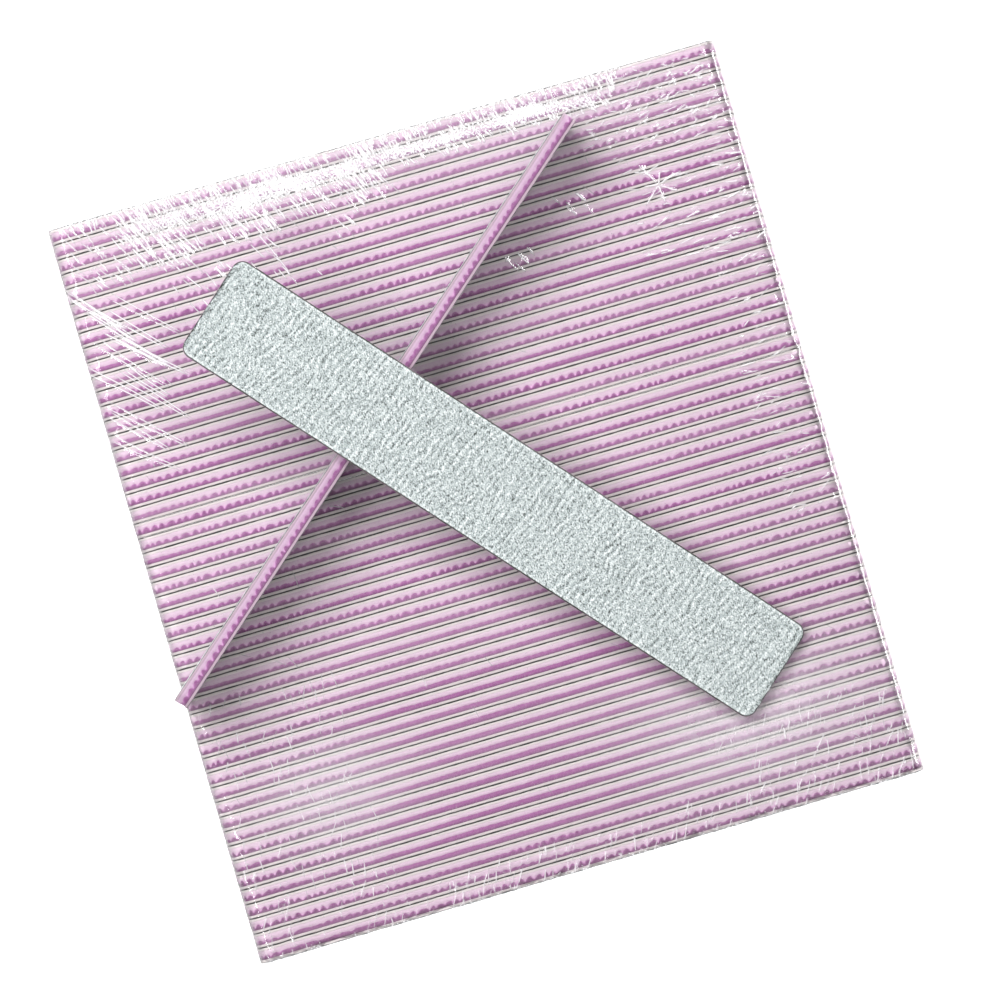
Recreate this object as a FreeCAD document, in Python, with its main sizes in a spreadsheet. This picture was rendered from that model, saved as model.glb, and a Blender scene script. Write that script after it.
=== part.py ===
import FreeCAD, Part
import math
import os
import Sketcher

# A shrink-wrapped pack of salon nail files, with two loose files of the same kind on top of it.
# Units are millimetres and +Z is up. The origin is the middle of the face that the pack rests on.
# The packed files stand on their long edges: X runs along them, and Y along the row they form.
# Every file is a plastic core with an abrasive sheet bonded to each face. Its own axes are X along
# its length, Y through its thickness, with the coarse sheet on the +Y side, and Z across its width.

DIMENSIONS = (
    ("file_length", 178.0, "length of every file"),
    ("file_width", 28.0, "width of every file, and so the height of a standing one"),
    ("corner_radius", 3.0, "rounding of a file's four corners"),
    ("core_thickness", 2.3, "plastic core between the two sheets"),
    ("sheet_thickness", 0.76, "one abrasive sheet with its adhesive"),
    ("file_count", 50, "files in the wrapped row"),
    ("file_gap", 0.1, "gap between neighbouring files in the row"),
    ("film_thickness", 0.15, "wrapping film"),
    ("film_clearance", 0.15, "gap between the film and the files inside it"),
    ("loose_gap", 0.2, "gap left under a loose file for the film's wrinkles"),
    ("edge_file_x", -21.7, "middle of the loose file that stands on its edge"),
    ("edge_file_y", 30.3, "the same, along the row"),
    ("edge_file_turn", 40.3, "degrees from X to the length of that file"),
    ("flat_file_x", 59.0, "low end of the loose file that lies across the other one"),
    ("flat_file_y", -63.4, "the same, along the row"),
    ("flat_file_turn", -49.0, "degrees from X to the direction of its low end"),
)
FILE_THICKNESS = "(Dimensions.core_thickness + 2 * Dimensions.sheet_thickness)"
FILE_PITCH = "(" + FILE_THICKNESS + " + Dimensions.file_gap)"
ROW_LENGTH = "(Dimensions.file_count * " + FILE_PITCH + " - Dimensions.file_gap)"
SHEET_OFFSET = "(Dimensions.core_thickness + Dimensions.sheet_thickness) / 2"
FILM_MARGIN = "(Dimensions.film_clearance + Dimensions.film_thickness)"
SHEET_SIDES = (("coarse_sheet", 1), ("fine_sheet", -1))

doc = FreeCAD.newDocument("nail_file_pack")
nodes = []


def make_dimensions():
    """The sheet of driving dimensions, one row each: name, value and meaning."""
    sheet = doc.addObject("Spreadsheet::Sheet", "Dimensions")
    for row, (name, value, meaning) in enumerate(DIMENSIONS, start=1):
        sheet.set("A%d" % row, name)
        sheet.set("B%d" % row, str(value))
        sheet.setAlias("B%d" % row, name)
        sheet.set("C%d" % row, meaning)
    doc.recompute()
    return sheet


def origin_feature(body, role):
    """One of a body's own origin planes or axes."""
    return next(part for part in body.Origin.OriginFeatures if part.Role == role)


def draw_rounded_rectangle(sketch, length, height, radius):
    """A rectangle centred on the sketch's origin with four equal round corners.

    The three sizes are expressions on the sheet of dimensions.
    """
    half_x, half_y, r = 40.0, 12.0, 2.0
    vector = FreeCAD.Vector
    corners = (
        (half_x - r, half_y - r, 0.0),
        (r - half_x, half_y - r, 90.0),
        (r - half_x, r - half_y, 180.0),
        (half_x - r, r - half_y, 270.0),
    )
    arcs = []
    ends = []
    for x, y, start in corners:
        first = math.radians(start)
        last = math.radians(start + 90.0)
        circle = Part.Circle(vector(x, y, 0), vector(0, 0, 1), r)
        arcs.append(sketch.addGeometry(Part.ArcOfCircle(circle, first, last), False))
        ends.append(
            (
                vector(x + r * math.cos(first), y + r * math.sin(first), 0),
                vector(x + r * math.cos(last), y + r * math.sin(last), 0),
            )
        )
    sides = []
    for index in range(4):
        following = (index + 1) % 4
        line = Part.LineSegment(ends[index][1], ends[following][0])
        sides.append(sketch.addGeometry(line, False))
    for index in range(4):
        following = (index + 1) % 4
        sketch.addConstraint(Sketcher.Constraint("Tangent", arcs[index], 2, sides[index], 1))
        sketch.addConstraint(Sketcher.Constraint("Tangent", sides[index], 2, arcs[following], 1))
    top, left, bottom, right = sides
    for side in (top, bottom):
        sketch.addConstraint(Sketcher.Constraint("Horizontal", side))
    for side in (left, right):
        sketch.addConstraint(Sketcher.Constraint("Vertical", side))
    for arc in arcs[1:]:
        sketch.addConstraint(Sketcher.Constraint("Equal", arcs[0], arc))
    sketch.addConstraint(Sketcher.Constraint("Symmetric", arcs[0], 3, arcs[2], 3, -1, 1))
    sizes = (
        ("length", Sketcher.Constraint("DistanceX", left, 1, right, 1, 2 * half_x), length),
        ("height", Sketcher.Constraint("DistanceY", bottom, 1, top, 1, 2 * half_y), height),
        ("radius", Sketcher.Constraint("Radius", arcs[0], r), radius),
    )
    for name, constraint, expression in sizes:
        sketch.renameConstraint(sketch.addConstraint(constraint), name)
        sketch.setExpression("Constraints." + name, expression)


def make_plate(label, length, height, radius, thickness):
    """A body whose plate stands on edge: outline in its XZ plane, thickness along Y."""
    body = doc.addObject("PartDesign::Body", label)
    body.Label = label
    outline = body.newObject("Sketcher::SketchObject", label + "_outline")
    outline.AttachmentSupport = (origin_feature(body, "XZ_Plane"), [""])
    outline.MapMode = "FlatFace"
    draw_rounded_rectangle(outline, length, height, radius)
    pad = body.newObject("PartDesign::Pad", label + "_pad")
    pad.Profile = outline
    pad.SideType = "Symmetric"
    pad.setExpression("Length", thickness)
    outline.Visibility = False
    return body, pad


def make_file_plate(label, thickness):
    """A core or a sheet: a plate with the outline that every file has."""
    return make_plate(
        label,
        "Dimensions.file_length",
        "Dimensions.file_width",
        "Dimensions.corner_radius",
        "Dimensions." + thickness,
    )


def repeat_along_row(body, pad):
    """One plate in each place of the row, as separate solids of one body."""
    body.AllowCompound = True
    row = body.newObject("PartDesign::LinearPattern", body.Name + "_row")
    row.Originals = [pad]
    row.Direction = (origin_feature(body, "Y_Axis"), [""])
    row.setExpression("Length", "(Dimensions.file_count - 1) * " + FILE_PITCH)
    row.setExpression("Occurrences", "Dimensions.file_count")
    body.Tip = row


def place_in_row(body, offset):
    """Stands a plate on the film, with its middle at offset, an expression, along the row."""
    height = FILM_MARGIN + " + Dimensions.file_width / 2"
    body.setExpression(".Placement.Base.y", offset)
    body.setExpression(".Placement.Base.z", height)


def make_packed_files(count):
    """The wrapped row: a body for each core, and one body of sheets for each side."""
    first = "(1 - Dimensions.file_count) / 2 * " + FILE_PITCH
    for index in range(count):
        core, _ = make_file_plate("file_core_%02d" % (index + 1), "core_thickness")
        place_in_row(core, "%s + %d * %s" % (first, index, FILE_PITCH))
        nodes.append(core)
    for name, side in SHEET_SIDES:
        sheets, pad = make_file_plate("packed_%ss" % name, "sheet_thickness")
        repeat_along_row(sheets, pad)
        place_in_row(sheets, "%s + %d * %s" % (first, side, SHEET_OFFSET))
        nodes.append(sheets)


def make_film():
    """The wrapping: a closed film round the row, welded from an upper and a lower ply."""
    outer, _ = make_plate(
        "film_outside",
        "Dimensions.file_length + 2 * " + FILM_MARGIN,
        "Dimensions.file_width + 2 * " + FILM_MARGIN,
        "Dimensions.corner_radius + " + FILM_MARGIN,
        ROW_LENGTH + " + 2 * " + FILM_MARGIN,
    )
    inner, _ = make_plate(
        "film_inside",
        "Dimensions.file_length + 2 * Dimensions.film_clearance",
        "Dimensions.file_width + 2 * Dimensions.film_clearance",
        "Dimensions.corner_radius + Dimensions.film_clearance",
        ROW_LENGTH + " + 2 * Dimensions.film_clearance",
    )
    shell = doc.addObject("Part::Cut", "film_shell")
    shell.Base = outer
    shell.Tool = inner
    for name, low_end in (("film_upper", "0 mm"), ("film_lower", "-1 * Dimensions.file_width")):
        half = doc.addObject("Part::Box", name + "_space")
        half.setExpression("Length", "2 * Dimensions.file_length")
        half.setExpression("Width", "2 * " + ROW_LENGTH)
        half.setExpression("Height", "Dimensions.file_width")
        half.setExpression(".Placement.Base.x", "-1 * Dimensions.file_length")
        half.setExpression(".Placement.Base.y", "-1 * " + ROW_LENGTH)
        half.setExpression(".Placement.Base.z", low_end)
        ply = doc.addObject("Part::Common", name)
        ply.Label = name
        ply.Base = shell
        ply.Tool = half
        ply.setExpression(".Placement.Base.z", "Dimensions.file_width / 2 + " + FILM_MARGIN)
        nodes.append(ply)


def edge_file_placement(sheet):
    """A loose file standing on its long edge on top of the film."""
    film_top = sheet.file_width + 2 * (sheet.film_clearance + sheet.film_thickness)
    middle = FreeCAD.Vector(
        sheet.edge_file_x, sheet.edge_file_y, film_top + sheet.loose_gap + sheet.file_width / 2
    )
    turn = FreeCAD.Rotation(FreeCAD.Vector(0, 0, 1), sheet.edge_file_turn)
    return FreeCAD.Placement(middle, turn)


def flat_file_placement(sheet):
    """A loose file with its low end on the film and its underside on the standing file's top."""
    thickness = sheet.core_thickness + 2 * sheet.sheet_thickness
    film_top = sheet.file_width + 2 * (sheet.film_clearance + sheet.film_thickness)
    flat_turn = math.radians(sheet.flat_file_turn)
    edge_turn = math.radians(sheet.edge_file_turn)
    across = math.sin(edge_turn - flat_turn)
    along = abs(math.cos(edge_turn - flat_turn))
    apart_x = sheet.flat_file_x - sheet.edge_file_x
    apart_y = sheet.flat_file_y - sheet.edge_file_y
    to_axis = (apart_x * math.sin(edge_turn) - apart_y * math.cos(edge_turn)) / across
    to_contact = to_axis - (thickness + sheet.file_width * along) / 2 / across
    tilt = math.degrees(math.atan((sheet.file_width + sheet.loose_gap) / to_contact))
    rotation = FreeCAD.Rotation(FreeCAD.Vector(0, 0, 1), sheet.flat_file_turn)
    rotation = rotation.multiply(FreeCAD.Rotation(FreeCAD.Vector(0, 1, 0), tilt))
    rotation = rotation.multiply(FreeCAD.Rotation(FreeCAD.Vector(1, 0, 0), 90.0))
    low_edge = FreeCAD.Vector(sheet.file_length / 2, -thickness / 2, 0)
    rests_at = FreeCAD.Vector(sheet.flat_file_x, sheet.flat_file_y, film_top + sheet.loose_gap)
    print("tilt of the flat file: %.2f degrees" % tilt)
    return FreeCAD.Placement(rests_at - rotation.multVec(low_edge), rotation)


def make_loose_file(name, placement, sheet):
    """One loose file: its core and its two sheets, all at one placement."""
    core, _ = make_file_plate(name + "_core", "core_thickness")
    core.Placement = placement
    nodes.append(core)
    offset = (sheet.core_thickness + sheet.sheet_thickness) / 2
    for side_name, side in SHEET_SIDES:
        ply, _ = make_file_plate("%s_%s" % (name, side_name), "sheet_thickness")
        shift = FreeCAD.Placement(FreeCAD.Vector(0, side * offset, 0), FreeCAD.Rotation())
        ply.Placement = placement.multiply(shift)
        nodes.append(ply)


def check_and_export():
    """Stops on any failed object, then writes each sub-part to its own file."""
    doc.recompute()
    for item in doc.Objects:
        if {"Invalid", "Error"} & set(item.State):
            raise RuntimeError("%s failed: %s" % (item.Name, item.State))
    for node in nodes:
        if node.Shape.isNull() or not node.Shape.isValid():
            raise RuntimeError("%s has no valid shape" % node.Label)
    os.makedirs("parts", exist_ok=True)
    for node in nodes:
        node.Shape.exportStep("parts/%s.step" % node.Label)
    print("%d sub-parts" % len(nodes))


dimensions = make_dimensions()
make_film()
make_packed_files(int(dimensions.file_count))
make_loose_file("edge", edge_file_placement(dimensions), dimensions)
make_loose_file("flat", flat_file_placement(dimensions), dimensions)
check_and_export()
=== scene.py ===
import math

import bpy
import numpy as np
from mathutils import Matrix, Vector
from mathutils.geometry import delaunay_2d_cdt


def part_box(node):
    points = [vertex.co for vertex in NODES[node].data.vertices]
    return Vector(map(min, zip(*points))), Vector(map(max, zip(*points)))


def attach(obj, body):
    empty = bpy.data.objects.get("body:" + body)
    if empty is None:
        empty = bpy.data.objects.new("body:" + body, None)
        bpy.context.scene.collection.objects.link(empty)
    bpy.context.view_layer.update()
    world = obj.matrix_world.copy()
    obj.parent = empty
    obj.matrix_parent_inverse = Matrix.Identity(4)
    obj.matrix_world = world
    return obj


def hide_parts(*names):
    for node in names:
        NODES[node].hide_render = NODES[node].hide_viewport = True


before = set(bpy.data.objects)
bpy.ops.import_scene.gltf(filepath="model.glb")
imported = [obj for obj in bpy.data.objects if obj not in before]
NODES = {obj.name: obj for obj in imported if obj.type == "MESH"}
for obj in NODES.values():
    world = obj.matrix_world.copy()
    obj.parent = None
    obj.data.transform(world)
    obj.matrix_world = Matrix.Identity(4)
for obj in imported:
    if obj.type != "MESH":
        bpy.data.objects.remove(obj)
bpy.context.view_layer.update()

# A shrink-wrapped row of nail files standing on their long edges, with two loose files on top.
# Lengths are in millimetres up to the point where a mesh is made, and MM turns them into metres.
# A file's own axes are X along its length, Y through its thickness and Z across its width.
MM = 0.001
SEED = 20


# ---------------------------------------------------------------- sizes, read from the frame

def node_box(name):
    """Lowest and highest corner of a CAD node, in millimetres."""
    low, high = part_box(name)
    return np.array(low) / MM, np.array(high) / MM


def packed_nodes(prefix):
    return sorted(name for name in NODES if name.startswith(prefix))


CORES = packed_nodes("file_core_")
FIRST_CORE = node_box(CORES[0])
FILM_BOX = (node_box("film_lower")[0], node_box("film_upper")[1])
FILE_LENGTH, CORE_THICKNESS, FILE_WIDTH = FIRST_CORE[1] - FIRST_CORE[0]
SHEET_THICKNESS = FIRST_CORE[0][1] - node_box("packed_fine_sheets")[0][1]
SEAM_HEIGHT = node_box("film_upper")[0][2]
CORNER_RADIUS = 3.0  # of a file's four corners, which a box doesn't tell


# ---------------------------------------------------------------- noise

def line_noise(rng, s, spacing):
    """Smooth noise from -1 to 1 along s, with a new value every spacing."""
    steps = s / spacing
    values = rng.uniform(-1, 1, int(steps.max()) + 3)
    cell = steps.astype(int)
    t = steps - cell
    t = t * t * (3 - 2 * t)
    return values[cell] * (1 - t) + values[cell + 1] * t


def plane_noise(rng, x, y, cell_x, cell_y):
    """Smooth noise from -1 to 1 over a plane, with cells of the two sizes."""
    u = (x - x.min()) / cell_x
    v = (y - y.min()) / cell_y
    i = u.astype(int)
    j = v.astype(int)
    values = rng.uniform(-1, 1, (i.max() + 2, j.max() + 2))
    fu = u - i
    fv = v - j
    fu = fu * fu * (3 - 2 * fu)
    fv = fv * fv * (3 - 2 * fv)
    low = values[i, j] * (1 - fu) + values[i + 1, j] * fu
    high = values[i, j + 1] * (1 - fu) + values[i + 1, j + 1] * fu
    return low * (1 - fv) + high * fv


# ---------------------------------------------------------------- plates with a file's outline

class Outline:
    """A rectangle with round corners, as a grid of stations whose rim is the outline.

    Station (i, j) lies at x[i], v[j] * half[i], and the rim runs along the top to +X, down the
    end, back along the bottom, and up the other end.
    """

    def __init__(self, length, width, radius, step, across):
        straight = max(int((length - 2 * radius) / step), 2)
        arc = max(int(radius * math.pi / 2 / step), 4)
        angle = np.linspace(0, math.pi / 2, arc + 1)
        inner = length / 2 - radius
        left = -inner - radius * np.cos(angle)
        rise = width / 2 - radius + radius * np.sin(angle)
        middle = np.linspace(-inner, inner, straight + 1)[1:-1]
        self.x = np.concatenate([left, middle, -left[::-1]])
        self.half = np.concatenate([rise, np.full(len(middle), width / 2), rise[::-1]])
        self.v = np.linspace(-1, 1, across + 1)
        self.nx = len(self.x)
        self.nv = across + 1
        down = range(self.nv - 2, 0, -1)
        rim = [(i, across) for i in range(self.nx)]
        rim += [(self.nx - 1, j) for j in down]
        rim += [(i, 0) for i in range(self.nx - 1, -1, -1)]
        rim += [(0, j) for j in reversed(down)]
        self.rim = np.array(rim)
        self.count = len(rim)
        self.rim_x = self.x[self.rim[:, 0]]
        self.rim_z = self.v[self.rim[:, 1]] * self.half[self.rim[:, 0]]
        normal_x = np.clip((np.abs(self.rim_x) - inner) / radius, 0, 1) * np.sign(self.rim_x)
        size_z = np.sqrt(1 - np.clip(np.abs(normal_x), 0, 1) ** 2)
        self.normal_x = normal_x
        self.normal_z = size_z * np.sign(self.rim_z)
        gaps = np.hypot(np.diff(self.rim_x), np.diff(self.rim_z))
        self.s = np.concatenate([[0.0], np.cumsum(gaps)])

    def plain_cap(self, first, flip):
        """Faces that close a rim whose vertices start at first, in strips across the plate."""
        across = self.nv - 1
        at = {tuple(station): first + k for k, station in enumerate(self.rim)}
        faces = []
        for i in range(self.nx - 1):
            face = [at[i, 0], at[i, across], at[i + 1, across], at[i + 1, 0]]
            if i == 0:
                face[1:1] = [at[0, j] for j in range(1, across)]
            if i == self.nx - 2:
                face[-1:-1] = [at[self.nx - 1, j] for j in range(across - 1, 0, -1)]
            faces.append(face[::-1] if flip else face)
        return faces

    def grid_cap(self, first, start, flip):
        """Faces of the whole grid, with the rim's vertices at first and the inner ones at start."""
        index = np.full((self.nx, self.nv), -1)
        index[self.rim[:, 0], self.rim[:, 1]] = first + np.arange(self.count)
        inner = index < 0
        index[inner] = start + np.arange(inner.sum())
        corners = (index[:-1, :-1], index[:-1, 1:], index[1:, 1:], index[1:, :-1])
        faces = np.stack([c.ravel() for c in corners], axis=1)
        return (faces[:, ::-1] if flip else faces).tolist(), inner


def rim_rows(outline, rows):
    """Vertices of each row round the rim: y and how far it lies in from the outline."""
    points = []
    for y, depth in rows:
        x = outline.rim_x - outline.normal_x * depth
        z = outline.rim_z - outline.normal_z * depth
        points.append(np.stack([x, np.broadcast_to(y, x.shape), z], axis=1))
    return points


def wall_faces(count, rows, first=0):
    """Quads between rows of count vertices that each run once round a rim."""
    here = np.arange(count)
    following = np.roll(here, -1)
    faces = []
    for row in range(rows - 1):
        low = first + row * count
        high = low + count
        faces.append(np.stack([low + here, low + following, high + following, high + here], 1))
    return np.concatenate(faces).tolist()


def make_piece(name, points, faces, attributes, place, materials, body, replaced):
    """A mesh object from points in millimetres, riding on a body in place of CAD nodes."""
    points = np.asarray(points) @ np.array(place.to_3x3()).T + np.array(place.translation)
    mesh = bpy.data.meshes.new(name)
    mesh.from_pydata((points * MM).tolist(), [], faces)
    for key, values in attributes.items():
        layer = mesh.attributes.new(key, "FLOAT", "POINT")
        layer.data.foreach_set("value", np.asarray(values, np.float32))
    for material in materials:
        mesh.materials.append(material)
    mesh.shade_smooth()
    mesh.validate()
    piece = bpy.data.objects.new(name, mesh)
    bpy.context.scene.collection.objects.link(piece)
    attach(piece, body)
    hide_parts(*replaced)
    return piece


# ---------------------------------------------------------------- one file's core and sheets

CORE_STEP = 0.42  # mesh size round a core
SHEET_STEP = 1.15  # round a sheet inside the pack
FACE_STEP = 0.45  # over a sheet whose face shows
BEST_FACE_STEP = 0.28  # over the sheet in the middle of the view
CORE_STRIPS = 8  # mesh strips across a core
SHEET_STRIPS = 20  # the same across a sheet inside the pack
SCALLOP = 2.2  # from one scallop of a cut edge to the next
HILL_TOP = 0.64  # where a scallop is highest, as a share of it
BORDER_LOWEST = -0.7  # how far the border between the two bands may wander
BORDER_HIGHEST = 0.75


def core_rows(outline, rng, calm, wild):
    """A die-cut core's edge: a smooth sheared band, and a scalloped fracture band beside it.

    calm is 1 where the fracture band runs smooth and broad, and 0 where it is scalloped. wild is
    1 where it is ragged and painted darker. Each row is its y, its depth in from the outline, how
    pale its plastic is, its painted highlight, and its painted shade, which makes the torn band
    darker towards the sheet below it, on the scallops' hills and where it is ragged, and a little
    darker at the top of the pale band.
    """
    s = outline.s
    half = CORE_THICKNESS / 2
    phase = s / SCALLOP + 0.35 * line_noise(rng, s, 3.1) + rng.uniform(0, 1)
    across = phase % 1.0
    lopsided = np.where(across < HILL_TOP, across / HILL_TOP, (1 - across) / (1 - HILL_TOP))
    hill = np.sin(math.pi / 2 * lopsided)
    strength = np.clip(0.62 + 0.7 * line_noise(rng, s, 16.0), 0.1, 1.0) * (1 - 0.9 * calm)
    drift = 0.15 * line_noise(rng, s, 27.0) + 0.1 * line_noise(rng, s, 6.0)
    ragged = 0.05 * line_noise(rng, s, 0.6) + 0.22 * wild * line_noise(rng, s, 1.1)
    border = -0.1 + drift + 0.25 * calm + strength * (0.85 * hill - 0.5) + ragged
    border = np.clip(border, BORDER_LOWEST, BORDER_HIGHEST)
    # Painted highlight: the cusps between the scallops are painted light pink, as if they caught
    # the light.
    painted_highlight = strength * (1 - hill) ** 1.4
    rough = [line_noise(rng, s, 0.8) for _ in range(4)]
    torn = 0.17 + 0.05 * line_noise(rng, s, 2.3) + 0.06 * strength * (across - 0.5)
    middle = (border - half) / 2
    # Painted shade: the torn band is painted darker on the scallops' hills, towards the sheet below
    # it and where it is ragged.
    shade = 0.3 + 0.25 * hill * strength + 0.3 * wild
    return [
        (-half, 0.10 + 0.03 * rough[0], 0.0, 0.0, 1.0),
        (0.9 * -half + 0.02 * rough[1], torn + 0.03 * rough[0], 0.0, 0.0, 0.85),
        (middle + 0.08 * rough[2], torn + 0.05 * rough[1], 0.0, 0.0, shade),
        (border - 0.10, torn - 0.03 + 0.04 * rough[3], 0.1, painted_highlight, 0.05 + 0.2 * wild),
        (border + 0.06, 0.03 + 0.02 * rough[2], 0.85, 0.8 * painted_highlight, 0.0),
        ((border + half) / 2, 0.012 + 0.012 * rough[0], 1.0, 0.0, 0.0),
        (0.93 * half, 0.01, 1.0, 0.0, 0.0),
        (half, 0.05, 0.9, 0.0, 0.3),
    ]


def build_core(name, outline, rng, place, body, replaced, calm, wild, material):
    """One file's core, with its cut edge all round and flat faces under the sheets."""
    rows = core_rows(outline, rng, calm, wild)
    rims = rim_rows(outline, [row[:2] for row in rows])
    count = outline.count
    faces = wall_faces(count, len(rows))
    faces += outline.plain_cap(0, flip=True)
    faces += outline.plain_cap((len(rows) - 1) * count, flip=False)
    attributes = {"tone": np.full(count * len(rows), rng.uniform(0, 1))}
    for column, key in enumerate(("zone", "painted_highlight", "painted_shade"), start=2):
        attributes[key] = np.concatenate([np.broadcast_to(row[column], count) for row in rows])
    points = np.concatenate(rims)
    materials = [MATERIALS[material]]
    return make_piece(
        name, points, faces, attributes, place, materials, body, replaced
    )


COAT_EDGE = 0.12  # how much of a sheet's edge is its coat
PACKED_LIP = 0.1  # how far the coat falls away at the rim of a sheet
SHOWN_LIP = 0.28
PACKED_RIM_GRIT_AND_SHADE = -0.1  # how dark the rim of the coat is: its dark grit, and painted shade of the gaps beside it
SHOWN_RIM_GRIT_AND_SHADE = -0.3
SHOULDER = 0.5  # width of the worn band inside the rim of a coated face
SHOULDER_DROP = 0.04
FACE_INSET = 0.12  # how far the outer points of a coated face are drawn in


def sheet_rows(outline, rng, lip):
    """A sheet's edge from the core outwards: paper, then the coat, which falls away by a lip."""
    s = outline.s
    thickness = SHEET_THICKNESS
    worn = line_noise(rng, s, 1.3)
    chipped = np.abs(line_noise(rng, s, 2.1))
    thin = 0.5 + 0.5 * line_noise(rng, s, 3.3)
    edge = thickness - COAT_EDGE + 0.05 * worn
    return [
        (0.0, 0.03, 0.0),
        (0.12, 0.01 * worn, 0.0),
        (edge - 0.03, 0.012 + 0.012 * worn, 0.0),
        # The coat's dark rim, partly its grit and partly painted shade of the gap beside it, starts
        # here in broken dashes.
        (edge, 0.04 + 0.02 * worn, 0.5 + 0.5 * thin),
        (thickness, lip + 0.06 * chipped, 1.0),
    ]


def sheet_parts(outline, rng, relief=None):
    """Points, faces and attributes of one sheet lying on y = 0 with its coat towards +Y.

    With a relief, a function of x and z, the coated face is a grid raised by it.
    """
    rows = sheet_rows(outline, rng, PACKED_LIP if relief is None else SHOWN_LIP)
    rims = rim_rows(outline, [(y, depth) for y, depth, _ in rows])
    count = outline.count
    faces = wall_faces(count, len(rows))
    faces += outline.plain_cap(0, flip=True)
    coat = np.concatenate([np.full(count, row[2]) for row in rows])
    grain_and_painted_light = np.full(len(coat), PACKED_RIM_GRIT_AND_SHADE if relief is None else SHOWN_RIM_GRIT_AND_SHADE)
    last = (len(rows) - 1) * count
    if relief is None:
        faces += outline.plain_cap(last, flip=False)
        return np.concatenate(rims), faces, coat, grain_and_painted_light
    grid_faces, inner = outline.grid_cap(last, len(rows) * count, flip=False)
    x, v = np.meshgrid(outline.x, outline.v, indexing="ij")
    z = v * outline.half[:, None]
    x, z = x[inner], z[inner]
    raised, grain = relief(x, z)
    half_width = outline.half.max()
    half_length = outline.x[-1]
    from_side = half_width - np.abs(z)
    from_end = half_length - np.abs(x)
    shoulder = np.clip(np.minimum(from_side, from_end) / SHOULDER, 0, 1)
    # Painted highlight: a pale line along the long edges, where their shoulder would catch the
    # light.
    grain += 0.22 * np.exp(-(((from_side - 0.55) / 0.25) ** 2))
    # Darker specks within 1.2 mm of the ends: partly the coat's worn edge, partly painted shade of
    # the file's end face.
    grain -= 0.4 * rng.uniform(0, 1, len(x)) * np.clip(1.2 - from_end, 0, 1)
    x = x * (1 - FACE_INSET / half_length)
    z = z * (1 - FACE_INSET / half_width)
    y = SHEET_THICKNESS - SHOULDER_DROP * (1 - shoulder) + raised * shoulder
    points = np.concatenate(rims + [np.stack([x, y, z], axis=1)])
    coat = np.concatenate([coat, np.full(len(x), 1.0)])
    grain_and_painted_light = np.concatenate([grain_and_painted_light, grain])
    return points, faces + grid_faces, coat, grain_and_painted_light


RIPPLE_SLANT = math.radians(10)
RIPPLE_PERIOD = 1.75


def grit_relief(rng, grit):
    """Height of abrasive grain over slanting ripples in the glue, and how pale each grain is, with
    the ripples' crests painted paler as painted light and shade.
    """
    grain_size, ripple = grit

    def relief(x, z):
        slant = RIPPLE_SLANT
        along = x * math.cos(slant) + z * math.sin(slant)
        across = z * math.cos(slant) - x * math.sin(slant)
        warp = 1.0 * plane_noise(rng, x, z, 8, 6) + 0.55 * plane_noise(rng, x, z, 2.6, 2.6)
        ridge = np.sin(2 * math.pi * (along + warp) / RIPPLE_PERIOD)
        broken = 0.65 + 0.55 * plane_noise(rng, along, across, 1.5, 3.2)
        wave = ridge * broken
        fine = plane_noise(rng, along + warp, across, grain_size, 1.5 * grain_size)
        finest = rng.uniform(-1, 1, len(x))
        height = 0.1 * ripple * wave + 0.02 * fine + 0.035 * finest
        # The ripple term paints the ripples' light and shade into the paleness; the rest is the
        # grains' own tone.
        pale = 0.56 + 0.17 * ripple * wave + 0.04 * fine + 0.38 * finest
        return height, np.clip(pale, 0, 1)

    return relief


def side_place(place, side, offset):
    """The frame of a sheet bonded to the core's +Y (side 1) or -Y (side -1) face."""
    turn = Matrix.Identity(4) if side > 0 else Matrix.Rotation(math.pi, 4, "Z")
    return place @ Matrix.Translation((0, side * offset, 0)) @ turn


def build_sheet(name, step, rng, place, side, body, replaced, grit, material):
    """A sheet whose coated face shows, with the grain as relief."""
    outline = Outline(FILE_LENGTH, FILE_WIDTH, CORNER_RADIUS, step, int(FILE_WIDTH / step))
    relief = grit_relief(rng, grit)
    points, faces, coat, grain_and_painted_light = sheet_parts(outline, rng, relief)
    placed = side_place(place, side, CORE_THICKNESS / 2)
    materials = [MATERIALS[material]]
    attributes = {"coat": coat, "grain_and_painted_light": grain_and_painted_light}
    return make_piece(
        name, points, faces, attributes, placed, materials, body, replaced
    )


def build_packed_sheets(name, places, side, rng, slot, replaced):
    """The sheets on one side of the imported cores, as one piece of separate closed sheets."""
    outline = Outline(FILE_LENGTH, FILE_WIDTH, CORNER_RADIUS, SHEET_STEP, SHEET_STRIPS)
    points, faces, coats, specks = [], [], [], []
    start = 0
    for place in places:
        sheet, sheet_faces, coat, grain_and_painted_light = sheet_parts(outline, rng)
        placed = side_place(place, side, CORE_THICKNESS / 2)
        points.append(sheet @ np.array(placed.to_3x3()).T + np.array(placed.translation))
        faces += [[start + v for v in face] for face in sheet_faces]
        coats.append(coat)
        specks.append(grain_and_painted_light)
        start += len(sheet)
    attributes = {"coat": np.concatenate(coats), "grain_and_painted_light": np.concatenate(specks)}
    return make_piece(
        name,
        np.concatenate(points),
        faces,
        attributes,
        Matrix.Identity(4),
        [MATERIALS[slot]],
        "pack",
        replaced,
    )


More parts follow.
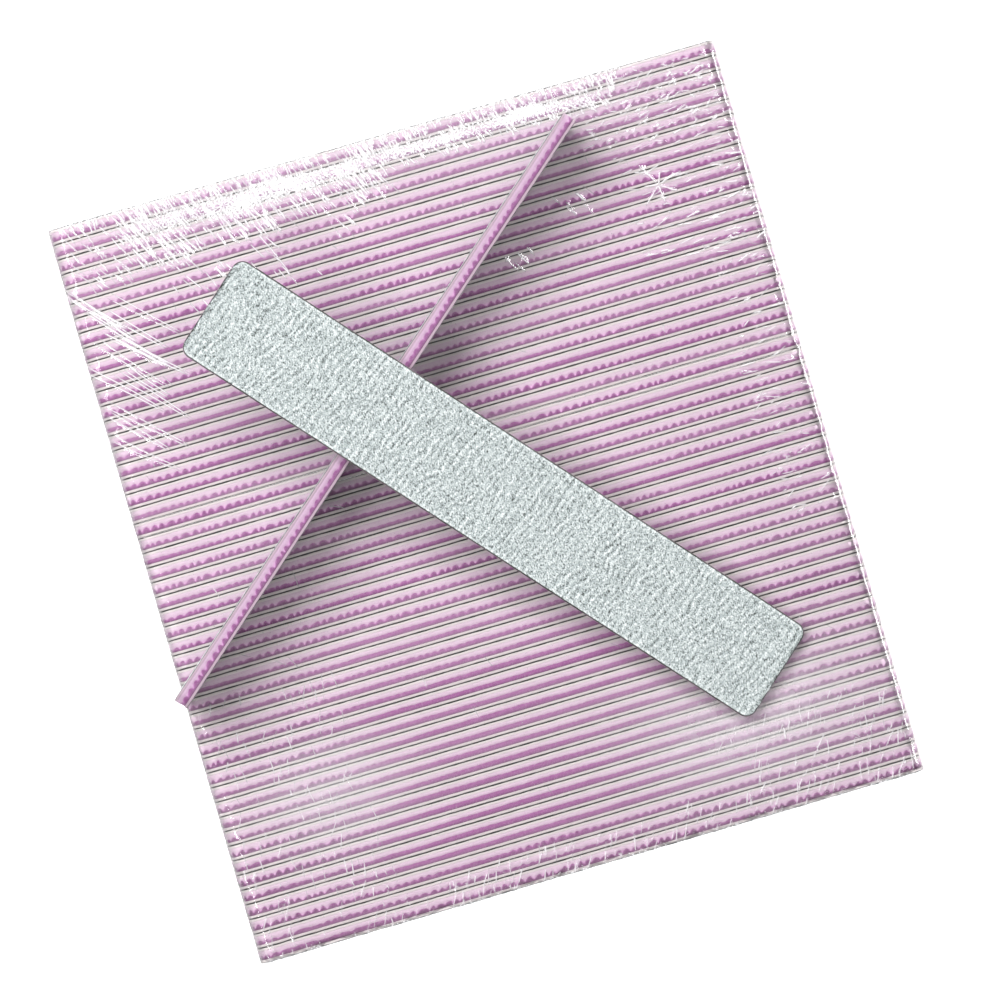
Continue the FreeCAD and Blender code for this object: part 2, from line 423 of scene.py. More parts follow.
def loose_place(prefix):
    """A loose file's frame, from its own CAD nodes: the middle of its core and its three axes."""
    points = {}
    for part in ("core", "coarse_sheet", "fine_sheet"):
        mesh = NODES[prefix + "_" + part].data
        points[part] = np.array([vertex.co for vertex in mesh.vertices]) / MM
    middle = (points["core"].min(0) + points["core"].max(0)) / 2
    centre = {part: (cloud.min(0) + cloud.max(0)) / 2 for part, cloud in points.items()}
    through = centre["coarse_sheet"] - centre["fine_sheet"]
    through /= np.linalg.norm(through)
    flat = points["core"] - middle
    flat -= np.outer(flat @ through, through)
    length_axis = np.linalg.svd(flat, full_matrices=False)[2][0]
    if length_axis[0] < 0:
        length_axis = -length_axis
    width_axis = np.cross(length_axis, through)
    columns = np.stack([length_axis, through, width_axis], axis=1)
    place = Matrix([list(row) + [0.0] for row in columns] + [[0, 0, 0, 1]])
    place.translation = Vector(middle)
    return place


# ---------------------------------------------------------------- the film

FILM_REST = 0.12  # how far the film lies above the files where it is slack and flat
FILM_INNER = 0.07  # how far its inner side lies below that
END_ROUND = 3.2  # radius of its bend over the files' ends
SIDE_ROUND = 0.5  # and over the outermost files
CORNER_POWER = 10  # how square its corners are in plan
SEAM_FLARE = 0.12  # how far it stands out at the seam
SEAM_SHARE = 0.07  # the part of its drop over which it does so
FULL_GLINT_FOLD = 0.1  # height of a fold whose crest gets the whole painted highlight
POINT_CELL = 0.12  # folds' mesh points nearer than this are merged
UPPER_SPACING = 1.8  # mesh spacing between folds
LOWER_SPACING = 2.2
ROOM_OPEN = 0.7  # how far the upper film may stand out
ROOM_COVERED = 0.3  # and where a loose file lies on it
ROOM_BESIDE = 0.5  # the lower film, up the pack's sides
ROOM_UNDER = 0.1  # and below the pack
COVER_MARGIN = 2.0  # how far round a loose file the film is held down

FILE_TOP = FIRST_CORE[1][2]
HALF_HEIGHT = FILE_TOP + FILM_REST - SEAM_HEIGHT
FLAT_X = FILM_BOX[1][0] - END_ROUND
FLAT_Y = FILM_BOX[1][1] - SIDE_ROUND
END_RUN = END_ROUND * (math.pi / 2 - 1) + HALF_HEIGHT
SIDE_RUN = SIDE_ROUND * (math.pi / 2 - 1) + HALF_HEIGHT


def bend(run, radius):
    """How far out and how far down a sheet is, a given run past the start of a square bend."""
    angle = np.minimum(run / radius, math.pi / 2)
    straight = np.maximum(run - radius * math.pi / 2, 0)
    return radius * np.sin(angle), radius * (1 - np.cos(angle)) + straight


def wrap_film(u, v):
    """Where points of a flat sheet go as it wraps the pack: x, y and the drop from its top."""
    end = np.maximum(np.abs(u) - FLAT_X, 0) / END_RUN
    side = np.maximum(np.abs(v) - FLAT_Y, 0) / SIDE_RUN
    down = np.maximum(end, side)
    out_x, drop_x = bend(down * END_RUN, END_ROUND)
    out_y, drop_y = bend(down * SIDE_RUN, SIDE_ROUND)
    a = end / np.maximum(down, 1e-9)
    b = side / np.maximum(down, 1e-9)
    reach = np.maximum(a**CORNER_POWER + b**CORNER_POWER, 1e-9) ** (-1 / CORNER_POWER)
    share = np.clip((b - a + 1) / 2, 0, 1)
    x = np.sign(u) * (np.minimum(np.abs(u), FLAT_X) + out_x * a * reach)
    y = np.sign(v) * (np.minimum(np.abs(v), FLAT_Y) + out_y * b * reach)
    return x, y, drop_x * (1 - share) + drop_y * share, down


def scatter_folds(rng, count, u_range, v_range, angle, spread, length, height, width=0.14):
    """Fold lines over a patch of the sheet, one a row: middle, angle, half length, height and
    width, and how far each bows. Angles are in degrees from the files' length."""
    turn = np.radians(angle + spread * rng.uniform(-1, 1, count))
    return np.stack(
        [
            rng.uniform(*u_range, count),
            rng.uniform(*v_range, count),
            turn,
            rng.uniform(*length, count) / 2,
            rng.uniform(*height, count),
            width * rng.uniform(0.8, 1.25, count),
            rng.uniform(-0.05, 0.05, count),
        ],
        axis=1,
    )


def beside(folds, gap, turn):
    """A second fold next to each of the folds, which runs into it at a slight angle."""
    twins = folds.copy()
    twins[:, 0] += gap * np.sin(folds[:, 2])
    twins[:, 1] -= gap * np.cos(folds[:, 2])
    twins[:, 2] += turn
    return twins


def star_folds(u, v, rays, length, height):
    """Folds that run out from one point."""
    turn = np.arange(rays) * 2 * math.pi / rays + 0.3
    half = length / 2 * (1 + 0.35 * np.cos(3 * turn))
    return np.stack(
        [
            u + 0.9 * half * np.cos(turn),
            v + 0.9 * half * np.sin(turn),
            turn,
            half,
            np.full(rays, height),
            np.full(rays, 0.16),
            np.zeros(rays),
        ],
        axis=1,
    )


def fold_points(folds, spacing=0.65):
    """Points along each fold and beside it, so that the mesh follows its crest."""
    points = []
    for u, v, turn, half, _, width, bow in folds:
        along = np.linspace(-half, half, max(int(2 * half / spacing), 3))
        for offset in (-1.6, 0.0, 1.6):
            across = offset * width + bow * half * (1 - (along / half) ** 2)
            points.append(
                np.stack(
                    [
                        u + along * math.cos(turn) - across * math.sin(turn),
                        v + along * math.sin(turn) + across * math.cos(turn),
                    ],
                    axis=1,
                )
            )
    return np.concatenate(points)


def fold_height(folds, u, v):
    """Height of all the folds at points of the sheet, and the painted highlight: how white each
    point near a crest is painted.
    """
    height = np.zeros(len(u))
    painted_highlight = np.zeros(len(u))
    for fold_u, fold_v, turn, half, tall, width, bow in folds:
        near = np.flatnonzero((np.abs(u - fold_u) < half + 1) & (np.abs(v - fold_v) < half + 1))
        du, dv = u[near] - fold_u, v[near] - fold_v
        along = du * math.cos(turn) + dv * math.sin(turn)
        across = dv * math.cos(turn) - du * math.sin(turn)
        taper = np.clip(1 - (along / half) ** 2, 0, 1)
        across = across - bow * half * taper
        rise = taper**0.7 * np.exp(-0.5 * (across / width) ** 2)
        height[near] += tall * rise
        near_crest = np.clip((rise - 0.32) / 0.4, 0, 1) * min(tall / FULL_GLINT_FOLD, 1)
        painted_highlight[near] = np.maximum(painted_highlight[near], near_crest)
    return height, painted_highlight


def sheet_grid(rng, spacing):
    """Scattered points over the whole flat sheet, and its straight edges."""
    reach_u, reach_v = FLAT_X + END_RUN, FLAT_Y + SIDE_RUN
    count_u, count_v = int(2 * reach_u / spacing), int(2 * reach_v / spacing)
    edge_u = np.linspace(-reach_u, reach_u, count_u + 1)
    edge_v = np.linspace(-reach_v, reach_v, count_v + 1)
    u, v = np.meshgrid(edge_u[1:-1], edge_v[1:-1], indexing="ij")
    inner = np.stack([u.ravel(), v.ravel()], axis=1)
    inner += 0.3 * spacing * rng.uniform(-1, 1, inner.shape)
    ring = [(t, -reach_v) for t in edge_u] + [(reach_u, t) for t in edge_v[1:]]
    ring += [(t, reach_v) for t in edge_u[-2::-1]] + [(-reach_u, t) for t in edge_v[-2:0:-1]]
    return np.array(ring), inner


def thin_out(points, kept, cell):
    """The points that aren't in the same small cell as an earlier one, or as a kept one."""
    every = np.concatenate([kept, points])
    _, first = np.unique(np.round(every / cell).astype(int), axis=0, return_index=True)
    first = np.sort(first)
    return every[first[first >= len(kept)]]


def triangulate(points):
    vectors = [Vector(point) for point in points.tolist()]
    verts, _, faces, *_ = delaunay_2d_cdt(vectors, [], [], 0, 1e-7)
    return np.array([tuple(vert) for vert in verts]), np.array(faces)


def vertex_normals(points, faces):
    corners = points[faces]
    flat = np.cross(corners[:, 1] - corners[:, 0], corners[:, 2] - corners[:, 0])
    normals = np.zeros_like(points)
    for corner in range(3):
        np.add.at(normals, faces[:, corner], flat)
    return normals / np.linalg.norm(normals, axis=1, keepdims=True)


def seam_flare(down):
    """How far the film stands out near the seam: down is 0 on the top and 1 at the seam."""
    return SEAM_FLARE * np.clip((down - 1 + SEAM_SHARE) / SEAM_SHARE, 0, 1) ** 2


def film_sheet(uv, faces, lift):
    """Points of the wrapped sheet, each moved out from the pack by its lift, in millimetres."""
    x, y, drop, _ = wrap_film(uv[:, 0], uv[:, 1])
    points = np.stack([x, y, FILE_TOP + FILM_REST - drop], axis=1)
    return points + vertex_normals(points, faces) * lift[:, None]


def painted_reflection_over(u, v):
    """Painted reflection, from 0 to 1: how milky white the film is painted where it shows the
    lamps' glare, along its bunched side, at two slack corners and over the files' ends.
    """
    bunched = np.clip((v - 80) / 14, 0, 1) * np.clip((80 - np.abs(u)) / 20, 0, 1)
    left = np.exp(-(((u + 60) / 19) ** 2 + ((v + 61) / 15) ** 2))
    right = np.exp(-(((u - 50) / 30) ** 2 + ((v + 72) / 16) ** 2))
    round_ends = np.clip((np.abs(u) - FLAT_X - 1.0) / 1.5, 0, 1)
    return np.clip(0.4 * bunched + 0.75 * left + 1.05 * right + 0.25 * round_ends, 0, 1)


def painted_glare_over(rng, u, v):
    """Painted glare: how nearly white the film is painted, in a band of tiny crinkles along its
    bunched side and along its bends over the outermost files.
    """
    middle = 93.0 + 0.8 * plane_noise(rng, u, v, 14, 300)
    width = np.where(v > middle, 1.9, 2.2 + 2.6 * np.clip((-u - 5) / 25, 0, 1))
    band = np.exp(-(((v - middle) / width) ** 4))
    ends = np.clip((u + 72) / 14, 0, 1) * np.clip((62 - u) / 8, 0, 1)
    crinkle_glare = band * ends * (0.74 + 0.3 * plane_noise(rng, u, v, 7, 3))
    round_sides = 0.62 * np.clip((np.abs(v) - FLAT_Y + 0.4) / 0.4, 0, 1)
    return np.clip(np.maximum(crinkle_glare, round_sides), 0, 1)


def upper_folds(rng):
    """The folds of the upper film, patch by patch.

    Each patch is a count, its ranges of u and v, an angle and its spread, and then the ranges of
    length and height.
    """
    patches = [
        ((520, (-72, 0), (83, 97), -66, 10), (2, 6.5), (0.05, 0.14)),
        ((380, (-10, 62), (89, 97), -66, 22), (1.5, 3.5), (0.05, 0.12)),
        ((320, (-84, 62), (95.5, 99), -80, 12), (2, 4.5), (0.04, 0.12)),
        ((110, (-87, -55), (80, 96), -60, 12), (1.5, 6), (0.05, 0.12)),
        ((45, (-64, -12), (68, 84), -62, 8), (2, 7), (0.06, 0.12)),
        ((160, (50, 86), (78, 97), 10, 40), (1, 3.5), (0.04, 0.1)),
        ((200, (56, 88), (45, 92), 4, 18), (1.5, 5), (0.03, 0.1)),
        ((120, (72, 88), (-25, 50), 6, 30), (1.5, 5), (0.03, 0.1)),
        ((160, (40, 88), (-98, -72), 70, 22), (1.5, 6), (0.03, 0.08)),
        ((160, (-88, -50), (-98, -30), 80, 25), (1.5, 6), (0.03, 0.08)),
        ((110, (-50, 40), (-99, -90), 70, 15), (2, 5), (0.03, 0.08)),
        ((60, (-85, 85), (-95, 95), -60, 40), (1.5, 5), (0.02, 0.06)),
        ((6, (22, 30), (55, 60), -60, 5), (2, 5), (0.08, 0.14)),
        ((6, (38, 46), (64, 70), -60, 5), (2, 5), (0.08, 0.14)),
        ((10, (-50, -44), (71, 76), -60, 9), (3, 6), (0.1, 0.2)),
    ]
    folds = [scatter_folds(rng, *where, length, height) for where, length, height in patches]
    long_folds = scatter_folds(rng, 16, (-84, -70), (28, 80), -47, 6, (12, 30), (0.1, 0.16))
    folds += [long_folds, beside(long_folds, 1.1, 0.05)]
    return np.concatenate(folds + [star_folds(65, 66, 7, 6, 0.14)])


def lower_folds(rng):
    """The folds under the pack, which show only where it is lifted or seen from its sides."""
    patches = [
        ((120, (-85, 85), (84, 101), -72, 14), (3, 8), (0.04, 0.1)),
        ((120, (-85, 85), (-101, -84), 75, 20), (3, 8), (0.04, 0.1)),
        ((80, (70, 90), (-90, 90), 20, 50), (3, 8), (0.04, 0.1)),
        ((80, (-90, -70), (-90, 90), -40, 50), (3, 10), (0.04, 0.1)),
        ((60, (-85, 85), (-95, 95), -60, 40), (4, 12), (0.03, 0.08)),
    ]
    folds = [scatter_folds(rng, *where, length, height) for where, length, height in patches]
    return np.concatenate(folds)


def build_film(name, node, folds, rng, spacing, room, flip):
    """One half of the film as a closed thin sheet, whose outer side carries the folds.

    room gives how far the sheet may stand out at each point, and flip makes the half that wraps
    the pack from below.
    """
    ring, inner = sheet_grid(rng, spacing)
    reach = ring.max(axis=0)
    uv = thin_out(np.concatenate([fold_points(folds), inner]), ring, POINT_CELL)
    uv = uv[np.all(np.abs(uv) < reach - 0.5, axis=1)]
    outer_uv, outer_faces = triangulate(np.concatenate([ring, uv]))
    inner_uv, inner_faces = triangulate(np.concatenate([ring, inner]))
    u, v = outer_uv.T
    down = wrap_film(u, v)[3]
    slack = 0.035 * plane_noise(rng, u, v, 11, 7) + 0.02 * plane_noise(rng, u, v, 3, 2.2)
    tall, painted_highlight = fold_height(folds, u, v)
    lift = np.minimum(slack + tall, room(u, v))
    outer = film_sheet(outer_uv, outer_faces, lift * (1 - down) ** 2 + seam_flare(down))
    inner_down = wrap_film(*inner_uv.T)[3]
    lining = film_sheet(inner_uv, inner_faces, seam_flare(inner_down) - FILM_INNER)
    count = len(outer)
    rim = np.arange(len(ring))
    after = np.roll(rim, -1)
    walls = np.stack([rim, rim + count, after + count, after], axis=1)
    points = np.concatenate([outer, lining])
    faces = outer_faces.tolist() + (inner_faces[:, ::-1] + count).tolist() + walls.tolist()
    if flip:
        points[:, 2] = 2 * SEAM_HEIGHT - points[:, 2]
        points[:, 2] = np.maximum(points[:, 2], 0.02)
        faces = [face[::-1] for face in faces]
    bare = np.zeros(len(lining))
    # Painted reflection: the film is painted milky white where it would show the lamps' glare.
    painted_reflection = np.concatenate([painted_reflection_over(u, v), bare])
    # Painted highlight: the crests of the folds are painted white, standing in for the lamps'
    # glints on them.
    painted_fold_glint = np.concatenate([painted_highlight * (1 - down), bare])
    # Painted glare: the crinkled band and the side bends are painted nearly white.
    painted_glare = np.concatenate([painted_glare_over(rng, u, v), bare])
    outside = np.concatenate([np.ones(count), bare])
    return make_piece(
        name,
        points,
        faces,
        {"painted_reflection": painted_reflection, "painted_glare": painted_glare, "painted_fold_glint": painted_fold_glint, "outside": outside},
        Matrix.Identity(4),
        [MATERIALS["film"]],
        "pack",
        [node],
    )


# ---------------------------------------------------------------- materials

def add_node(tree, kind, inputs=None, **settings):
    """A shader node. Each input is a value, or another node's output to link."""
    node = tree.nodes.new(kind)
    for key, value in settings.items():
        setattr(node, key, value)
    for key, value in (inputs or {}).items():
        if isinstance(value, bpy.types.NodeSocket):
            tree.links.new(value, node.inputs[key])
        else:
            node.inputs[key].default_value = value
    return node


def new_material(name):
    material = bpy.data.materials.new(name)
    material.use_nodes = True
    material.node_tree.nodes.clear()
    return material, material.node_tree


def attribute(tree, name):
    return add_node(tree, "ShaderNodeAttribute", attribute_name=name).outputs["Fac"]


def noise(tree, size, detail=2.0):
    """Noise over the piece's own coordinates, whose features are about size millimetres."""
    place = add_node(tree, "ShaderNodeTexCoord").outputs["Object"]
    inputs = {"Vector": place, "Scale": 1 / (size * MM), "Detail": detail}
    return add_node(tree, "ShaderNodeTexNoise", inputs).outputs["Fac"]


def spread(tree, value, low, high, to_low=0.0, to_high=1.0):
    """Value stretched from low..high to to_low..to_high, and held there."""
    inputs = {
        "Value": value,
        "From Min": low,
        "From Max": high,
        "To Min": to_low,
        "To Max": to_high,
    }
    return add_node(tree, "ShaderNodeMapRange", inputs).outputs["Result"]


def blend_colours(tree, factor, first, second, mode="MIX"):
    node = add_node(tree, "ShaderNodeMix", data_type="RGBA", blend_type=mode)
    for socket, value in zip((0, 6, 7), (factor, first, second), strict=True):
        if isinstance(value, bpy.types.NodeSocket):
            tree.links.new(value, node.inputs[socket])
        else:
            node.inputs[socket].default_value = value if socket == 0 else (*value, 1.0)
    return node.outputs[2]


def calculate(tree, operation, first, second):
    node = add_node(tree, "ShaderNodeMath", operation=operation)
    for socket, value in zip(node.inputs[:2], (first, second), strict=True):
        if isinstance(value, bpy.types.NodeSocket):
            tree.links.new(value, socket)
        else:
            socket.default_value = value
    return node.outputs["Value"]


def finish_material(tree, shader):
    output = add_node(tree, "ShaderNodeOutputMaterial")
    tree.links.new(shader, output.inputs["Surface"])


def core_material(name, depth):
    """Pink foamed plastic: a pale sheared band, and a magenta band where the cut tore it.

    depth multiplies the colours: painted shade, which makes the loose files darker than the packed
    ones, since no film and no neighbour shades them and the light reaches them more strongly.
    """
    material, tree = new_material(name)
    torn = blend_colours(tree, noise(tree, 0.7), (0.29, 0.078, 0.255), (0.39, 0.135, 0.345))
    # Painted shade: the torn band is blended towards this dark colour where its rows are painted
    # darker.
    torn = blend_colours(tree, attribute(tree, "painted_shade"), torn, (0.10, 0.02, 0.085))
    pale = blend_colours(tree, noise(tree, 1.4), (0.51, 0.39, 0.475), (0.56, 0.45, 0.53))
    fuzz = spread(tree, noise(tree, 0.3), 0.3, 0.7, -0.2, 0.2)
    border = calculate(tree, "ADD", attribute(tree, "zone"), fuzz)
    colour = blend_colours(tree, border, torn, pale)
    # Painted highlight: light pink painted on the scallops' cusps.
    colour = blend_colours(tree, attribute(tree, "painted_highlight"), colour, (0.74, 0.44, 0.70))
    tone = spread(tree, attribute(tree, "tone"), 0, 1, 0.0, 0.16)
    colour = blend_colours(tree, tone, colour, (0.54, 0.46, 0.51))
    # Painted shade: the loose files' copy of the plastic is darkened here.
    colour = blend_colours(tree, 1.0, colour, depth, "MULTIPLY")
    bump = add_node(
        tree, "ShaderNodeBump", {"Height": noise(tree, 0.25, 4), "Distance": 0.06 * MM}
    )
    shader = add_node(
        tree,
        "ShaderNodeBsdfPrincipled",
        {
            "Base Color": colour,
            "Roughness": 0.5,
            "IOR": 1.4,
            "Normal": bump.outputs["Normal"],
        },
    )
    finish_material(tree, shader.outputs["BSDF"])
    return material


def sheet_material(name, grain, tones, depth):
    """Cream backing paper under a grey coat of abrasive, whose grains run from dark to pale."""
    material, tree = new_material(name)
    paper = blend_colours(tree, noise(tree, 0.8, 4), (0.515, 0.47, 0.475), (0.57, 0.52, 0.52))
    # Painted shade: the loose files' copy of the paper is darkened and tinted pinker here.
    paper = blend_colours(tree, 1.0, paper, depth, "MULTIPLY")
    grains = spread(tree, noise(tree, grain, 3), 0.3, 0.7, -0.36, 0.36)
    level = calculate(tree, "ADD", attribute(tree, "grain_and_painted_light"), grains)
    ramp = add_node(tree, "ShaderNodeValToRGB", {"Fac": level})
    ramp.color_ramp.elements.remove(ramp.color_ramp.elements[-1])
    for position, tone in tones:
        element = ramp.color_ramp.elements.new(position)
        element.color = (*tone, 1.0)
    # The darkest end of the ramp: dark grains on a face, and at the coat's rim, painted shade of
    # the gaps between files.
    ramp.color_ramp.elements[0].color = (0.015, 0.017, 0.012, 1.0)
    colour = blend_colours(tree, attribute(tree, "coat"), paper, ramp.outputs["Color"])
    bump = add_node(
        tree, "ShaderNodeBump", {"Height": noise(tree, grain, 3), "Distance": 0.1 * MM}
    )
    shader = add_node(
        tree,
        "ShaderNodeBsdfPrincipled",
        {
            "Base Color": colour,
            "Roughness": 0.62,
            "IOR": 1.5,
            "Normal": bump.outputs["Normal"],
        },
    )
    finish_material(tree, shader.outputs["BSDF"])
    return material


def film_material():
    """Clear shrink film: a gloss over what lies behind it, painted white where the lamps' glare,
    glints and reflections show on it.
    """
    material, tree = new_material("shrink_film")
    painted_fold_glint = attribute(tree, "painted_fold_glint")
    painted_reflection = attribute(tree, "painted_reflection")
    # The bump ripples are stronger where the painted reflection is.
    ripple = calculate(tree, "MULTIPLY", noise(tree, 1.0, 3), spread(tree, painted_reflection, 0, 1, 0.2, 0.5))
    bump = add_node(tree, "ShaderNodeBump", {"Height": ripple, "Distance": 0.1 * MM})
    normal = bump.outputs["Normal"]
    fresnel = add_node(tree, "ShaderNodeFresnel", {"IOR": 1.42, "Normal": normal})
    shine = calculate(tree, "MULTIPLY", fresnel.outputs[0], attribute(tree, "outside"))
    gloss = add_node(
        tree, "ShaderNodeBsdfGlossy", {"Color": (1, 1, 1, 1), "Roughness": 0.09, "Normal": normal}
    )
    clear = add_node(tree, "ShaderNodeBsdfTransparent", {"Color": (1, 1, 1, 1)})
    # White shaders that the painted whiteness mixes in, standing in for the lamps' glare, glints
    # and reflections on the film.
    milk = add_node(tree, "ShaderNodeBsdfDiffuse", {"Color": (0.98, 0.97, 0.99, 1)})
    white = add_node(tree, "ShaderNodeBsdfTranslucent", {"Color": (0.98, 0.97, 0.99, 1)})
    cloud = add_node(
        tree, "ShaderNodeMixShader", {0: 0.35, 1: milk.outputs[0], 2: white.outputs[0]}
    )
    broken = spread(tree, noise(tree, 2.4, 3), 0.3, 0.6, 0.22, 0.36)
    painted_whiteness = calculate(tree, "MULTIPLY", painted_reflection, broken)
    specks = spread(tree, noise(tree, 0.5, 3), 0.25, 0.75, -0.85, 0.35)
    glare_level = spread(tree, calculate(tree, "ADD", attribute(tree, "painted_glare"), specks), 0.2, 0.6)
    painted_whiteness = calculate(tree, "MAXIMUM", painted_whiteness, calculate(tree, "MULTIPLY", glare_level, 0.95))
    painted_whiteness = calculate(tree, "MAXIMUM", painted_whiteness, calculate(tree, "MULTIPLY", painted_fold_glint, 0.95))
    body = add_node(
        tree, "ShaderNodeMixShader", {0: painted_whiteness, 1: clear.outputs[0], 2: cloud.outputs[0]}
    )
    surface = add_node(
        tree, "ShaderNodeMixShader", {0: shine, 1: body.outputs[0], 2: gloss.outputs[0]}
    )
    finish_material(tree, surface.outputs[0])
    return material


COARSE_TONES = [
    (0.12, (0.06, 0.07, 0.07)),
    (0.28, (0.17, 0.195, 0.195)),
    (0.50, (0.305, 0.345, 0.345)),
    (0.78, (0.42, 0.46, 0.46)),
    (0.98, (0.65, 0.68, 0.68)),
]
FINE_TONES = [
    (0.10, (0.10, 0.11, 0.11)),
    (0.30, (0.28, 0.32, 0.32)),
    (0.55, (0.36, 0.41, 0.41)),
    (0.95, (0.50, 0.54, 0.54)),
]
PLAIN = (1.0, 1.0, 1.0)
# Painted shade: darker copies of the core and paper colours for the loose files, to offset the
# stronger light on them.
LOOSE_CORE_DIMMING = (0.74, 0.65, 0.74)
LOOSE_PAPER_DIMMING = (0.60, 0.49, 0.59)
MATERIALS = {
    "core": core_material("core_plastic", PLAIN),
    "loose_core": core_material("loose_core_plastic", LOOSE_CORE_DIMMING),
    "coarse_abrasive": sheet_material("coarse_abrasive", 0.3, COARSE_TONES, PLAIN),
    "fine_abrasive": sheet_material("fine_abrasive", 0.2, FINE_TONES, PLAIN),
    "loose_coarse": sheet_material("loose_coarse", 0.3, COARSE_TONES, LOOSE_PAPER_DIMMING),
    "loose_fine": sheet_material("loose_fine", 0.2, FINE_TONES, LOOSE_PAPER_DIMMING),
    "film": film_material(),
}


# ---------------------------------------------------------------- the pack of files

CORE_OUTLINE = Outline(FILE_LENGTH, FILE_WIDTH, CORNER_RADIUS, CORE_STEP, CORE_STRIPS)
END_SHIFT = 0.18  # how far a packed file may lie out of line along its length
TOP_SHIFT = 0.06  # and in height
FLAT_FILE_UNDERCUT = -0.2
COARSE_GRIT = (0.42, 1.0)  # size of the grains, and strength of the ripples
FINE_GRIT = (0.3, 0.4)


def calm_and_wild(y):
    """Where a packed core's torn band runs smooth, in the lower middle of the pack, and where it
    is ragged and painted darker, at the ends beside that and along the lowest few files."""
    x = CORE_OUTLINE.rim_x
    below = np.clip((-12 - y) / 30, 0, 1)
    edge = np.clip((y + 92) / 8, 0, 1)
    inside = np.clip((66 - np.abs(x)) / 22, 0, 1)
    return below * edge * inside, below * (1 - edge * inside)


def build_packed_files(rng):
    """The row of files in the film. Only its two outermost sheets show a whole coated face."""
    places = []
    for node in CORES:
        low, high = node_box(node)
        middle = (low + high) / 2
        shift = Vector((rng.uniform(-END_SHIFT, END_SHIFT), 0, rng.uniform(-TOP_SHIFT, TOP_SHIFT)))
        place = Matrix.Translation(Vector(middle) + shift)
        places.append(place)
        number = node.removeprefix("file_core_")
        calm, wild = calm_and_wild(middle[1])
        build_core(
            "packed_core_" + number, CORE_OUTLINE, rng, place, "pack", [node], calm, wild, "core"
        )
    coarse, fine = "packed_coarse_sheets", "packed_fine_sheets"
    build_packed_sheets("coarse_sheets_inside", places[:-1], 1, rng, "coarse_abrasive", [coarse])
    build_packed_sheets("fine_sheets_inside", places[1:], -1, rng, "fine_abrasive", [fine])
    build_sheet(
        "coarse_sheet_outermost", FACE_STEP, rng, places[-1], 1, "pack",
        [coarse], COARSE_GRIT, "coarse_abrasive",
    )
    build_sheet(
        "fine_sheet_outermost", FACE_STEP, rng, places[0], -1, "pack",
        [fine], FINE_GRIT, "fine_abrasive",
    )


def build_loose_file(rng, prefix, coarse_step, undercut):
    """A loose file, whose ends are cut at an angle by undercut: mm of length per mm through it."""
    cut = Matrix.Identity(4)
    cut[0][1] = undercut
    place = loose_place(prefix) @ cut
    plain = np.zeros(CORE_OUTLINE.count)
    core = prefix + "_core"
    build_core(
        prefix + "_file_core", CORE_OUTLINE, rng, place, prefix + "_file", [core], plain, plain,
        "loose_core",
    )
    build_sheet(
        prefix + "_file_coarse_sheet", coarse_step, rng, place, 1, prefix + "_file",
        [prefix + "_coarse_sheet"], COARSE_GRIT, "loose_coarse",
    )
    build_sheet(
        prefix + "_file_fine_sheet", FACE_STEP, rng, place, -1, prefix + "_file",
        [prefix + "_fine_sheet"], FINE_GRIT, "loose_fine",
    )


def room_above(u, v):
    """How far the upper film may stand out: less where a loose file lies on it."""
    room = np.full(len(u), ROOM_OPEN)
    for prefix in ("edge", "flat"):
        place = loose_place(prefix)
        along = np.array(place.col[0][:2])
        along /= np.linalg.norm(along)
        middle = np.array(place.translation)[:2]
        du, dv = u - middle[0], v - middle[1]
        run = np.abs(du * along[0] + dv * along[1])
        side = np.abs(dv * along[0] - du * along[1])
        covered = run < FILE_LENGTH / 2 + COVER_MARGIN
        covered &= side < FILE_WIDTH / 2 + COVER_MARGIN
        room[covered] = ROOM_COVERED
    return room


def room_below(u, v):
    """How far the lower film may stand out, over the surface that the pack lies on."""
    return np.where(wrap_film(u, v)[2] < 1.0, ROOM_UNDER, ROOM_BESIDE)


rng = np.random.default_rng(SEED)
build_packed_files(rng)
build_loose_file(rng, "edge", FACE_STEP, 0.0)
build_loose_file(rng, "flat", BEST_FACE_STEP, FLAT_FILE_UNDERCUT)
folds = upper_folds(rng)
build_film("film_top_half", "film_upper", folds, rng, UPPER_SPACING, room_above, False)
folds = lower_folds(rng)
build_film("film_bottom_half", "film_lower", folds, rng, LOWER_SPACING, room_below, True)


# ---------------------------------------------------------------- floor, light and camera

VIEW_TURN = math.radians(16.22)
VIEW_TILT_X = math.radians(0.76)
VIEW_TILT_Y = math.radians(2.05)
CAMERA_PLACE = Vector((-47, 18, 1428.5)) * MM
CAMERA_LENS = 196.1
FLOOR_GLOW = 0.8
WORLD_LIGHT = 0.38
# Name, side and lean in degrees, distance, width and depth in metres, and radiance.
PANELS = [
    ("key", 142, 33, 1.5, 0.95, 0.95, 10.4),
    ("upper_right_lamp", 43, 24, 1.6, 0.24, 0.24, 22),
    ("lower_left_lamp", 225, 24, 1.6, 0.24, 0.24, 22),
    ("lower_right_lamp", 322, 26, 1.6, 0.24, 0.24, 5),
    ("end_lamp", 16, 80, 1.6, 0.5, 0.5, 24),
]


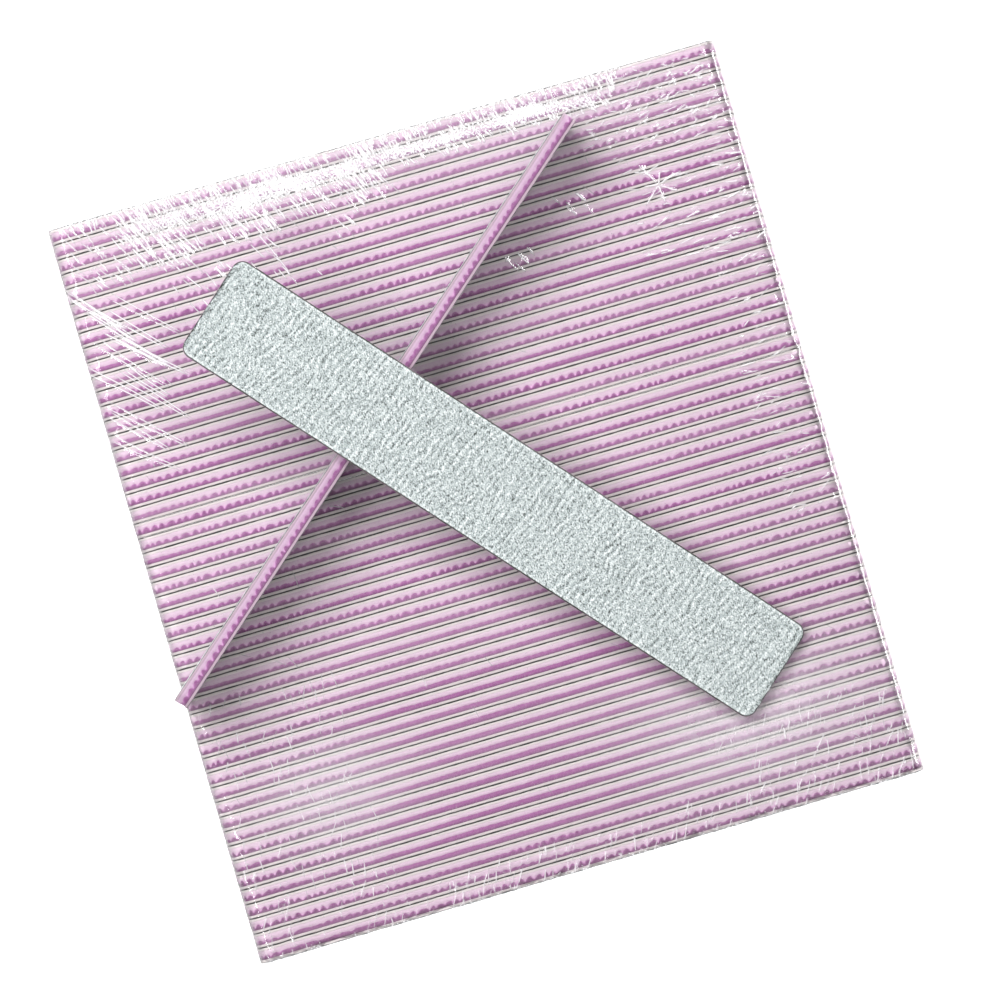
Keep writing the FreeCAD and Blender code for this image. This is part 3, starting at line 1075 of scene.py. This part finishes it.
def make_floor():
    """A pale table, lit a little from below so that it stays white beside the pack."""
    material, tree = new_material("floor")
    shade = blend_colours(tree, noise(tree, 60), (0.93, 0.93, 0.93), (0.95, 0.95, 0.95))
    shader = add_node(
        tree,
        "ShaderNodeBsdfPrincipled",
        {
            "Base Color": shade,
            "Roughness": 0.9,
            "Emission Color": (1.0, 1.0, 1.0, 1.0),
            "Emission Strength": FLOOR_GLOW,
        },
    )
    finish_material(tree, shader.outputs["BSDF"])
    bpy.ops.mesh.primitive_plane_add(size=8, location=(0, 0, 0))
    floor = bpy.context.object
    floor.name = "floor"
    floor.data.materials.append(material)


def make_panel(name, side, lean, distance, width, depth, radiance):
    """A soft square light, seen from the middle of the pack at a lean from straight up.

    side is its direction in the camera's picture: 0 is right, and 90 is up.
    """
    turn = math.radians(side) - VIEW_TURN
    tilt = math.radians(lean)
    away = Vector(
        (math.sin(tilt) * math.cos(turn), math.sin(tilt) * math.sin(turn), math.cos(tilt))
    )
    light = bpy.data.lights.new(name, "AREA")
    light.shape = "RECTANGLE"
    light.size = width
    light.size_y = depth
    light.energy = radiance * math.pi * width * depth
    lamp = bpy.data.objects.new(name, light)
    facing = away.to_track_quat("Z", "Y").to_matrix().to_4x4()
    lamp.matrix_world = Matrix.Translation(away * distance) @ facing
    bpy.context.scene.collection.objects.link(lamp)


def make_camera():
    turn = (
        Matrix.Rotation(VIEW_TURN, 3, "Z")
        @ Matrix.Rotation(VIEW_TILT_Y, 3, "Y")
        @ Matrix.Rotation(VIEW_TILT_X, 3, "X")
    )
    camera = bpy.data.cameras.new("camera")
    camera.lens = CAMERA_LENS
    camera.sensor_width = 36
    camera.clip_end = 20
    lookout = bpy.data.objects.new("camera", camera)
    lookout.matrix_world = Matrix.Translation(CAMERA_PLACE) @ turn.transposed().to_4x4()
    bpy.context.scene.collection.objects.link(lookout)
    bpy.context.scene.camera = lookout


def make_world():
    world = bpy.data.worlds.new("studio")
    world.use_nodes = True
    background = world.node_tree.nodes["Background"]
    background.inputs["Color"].default_value = (1.0, 1.0, 1.0, 1.0)
    background.inputs["Strength"].default_value = WORLD_LIGHT
    bpy.context.scene.world = world
    bpy.context.scene.view_settings.view_transform = "Standard"
    bpy.context.scene.cycles.transparent_max_bounces = 24


make_floor()
for panel in PANELS:
    make_panel(*panel)
make_world()
make_camera()
